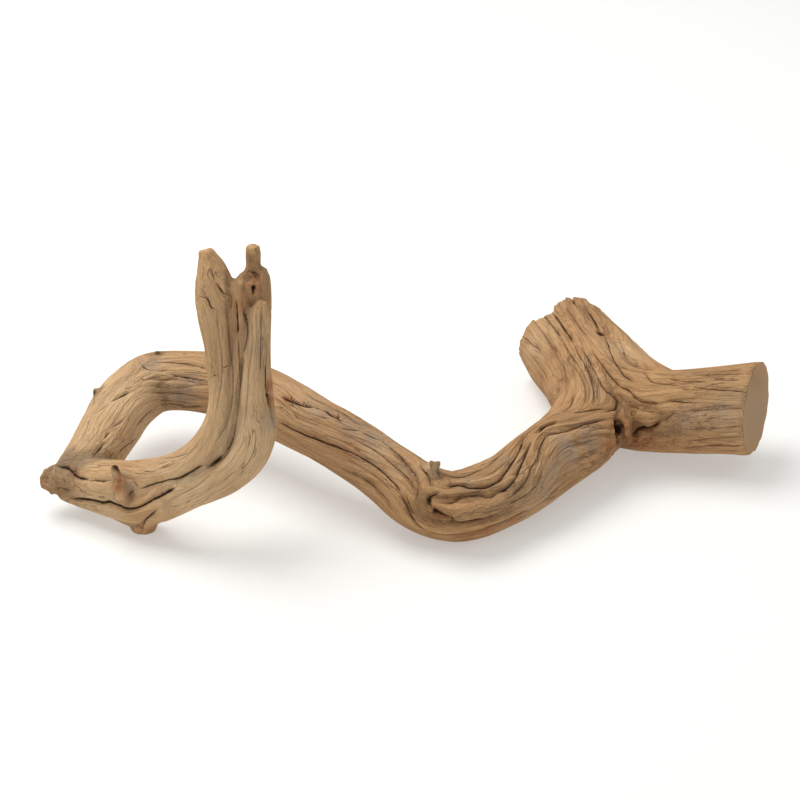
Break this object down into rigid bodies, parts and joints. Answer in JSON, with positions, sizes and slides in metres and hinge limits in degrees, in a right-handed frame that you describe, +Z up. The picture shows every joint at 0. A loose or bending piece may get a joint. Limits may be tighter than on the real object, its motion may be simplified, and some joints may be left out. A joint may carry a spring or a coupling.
{
  "type": "driftwood",
  "caption": "Forked, twisted piece of weathered driftwood with a sawn stub, a looping stem and an upright splintered tip, for display or habitat decoration",
  "frame": {"origin": "On the ground plane, under the middle of the box round the wood as it lies", "axes": "+X runs from the splintered elbow to the sawn stub, +Y runs back towards the broken trunk, +Z is up from the three feet that the wood rests on"},
  "size_m": [0.3394, 0.174, 0.1395],
  "materials": {
    "wood": "rough"
  },
  "bodies": {
    "root": {"driftwood": "wood"}
  },
  "joints": []
}
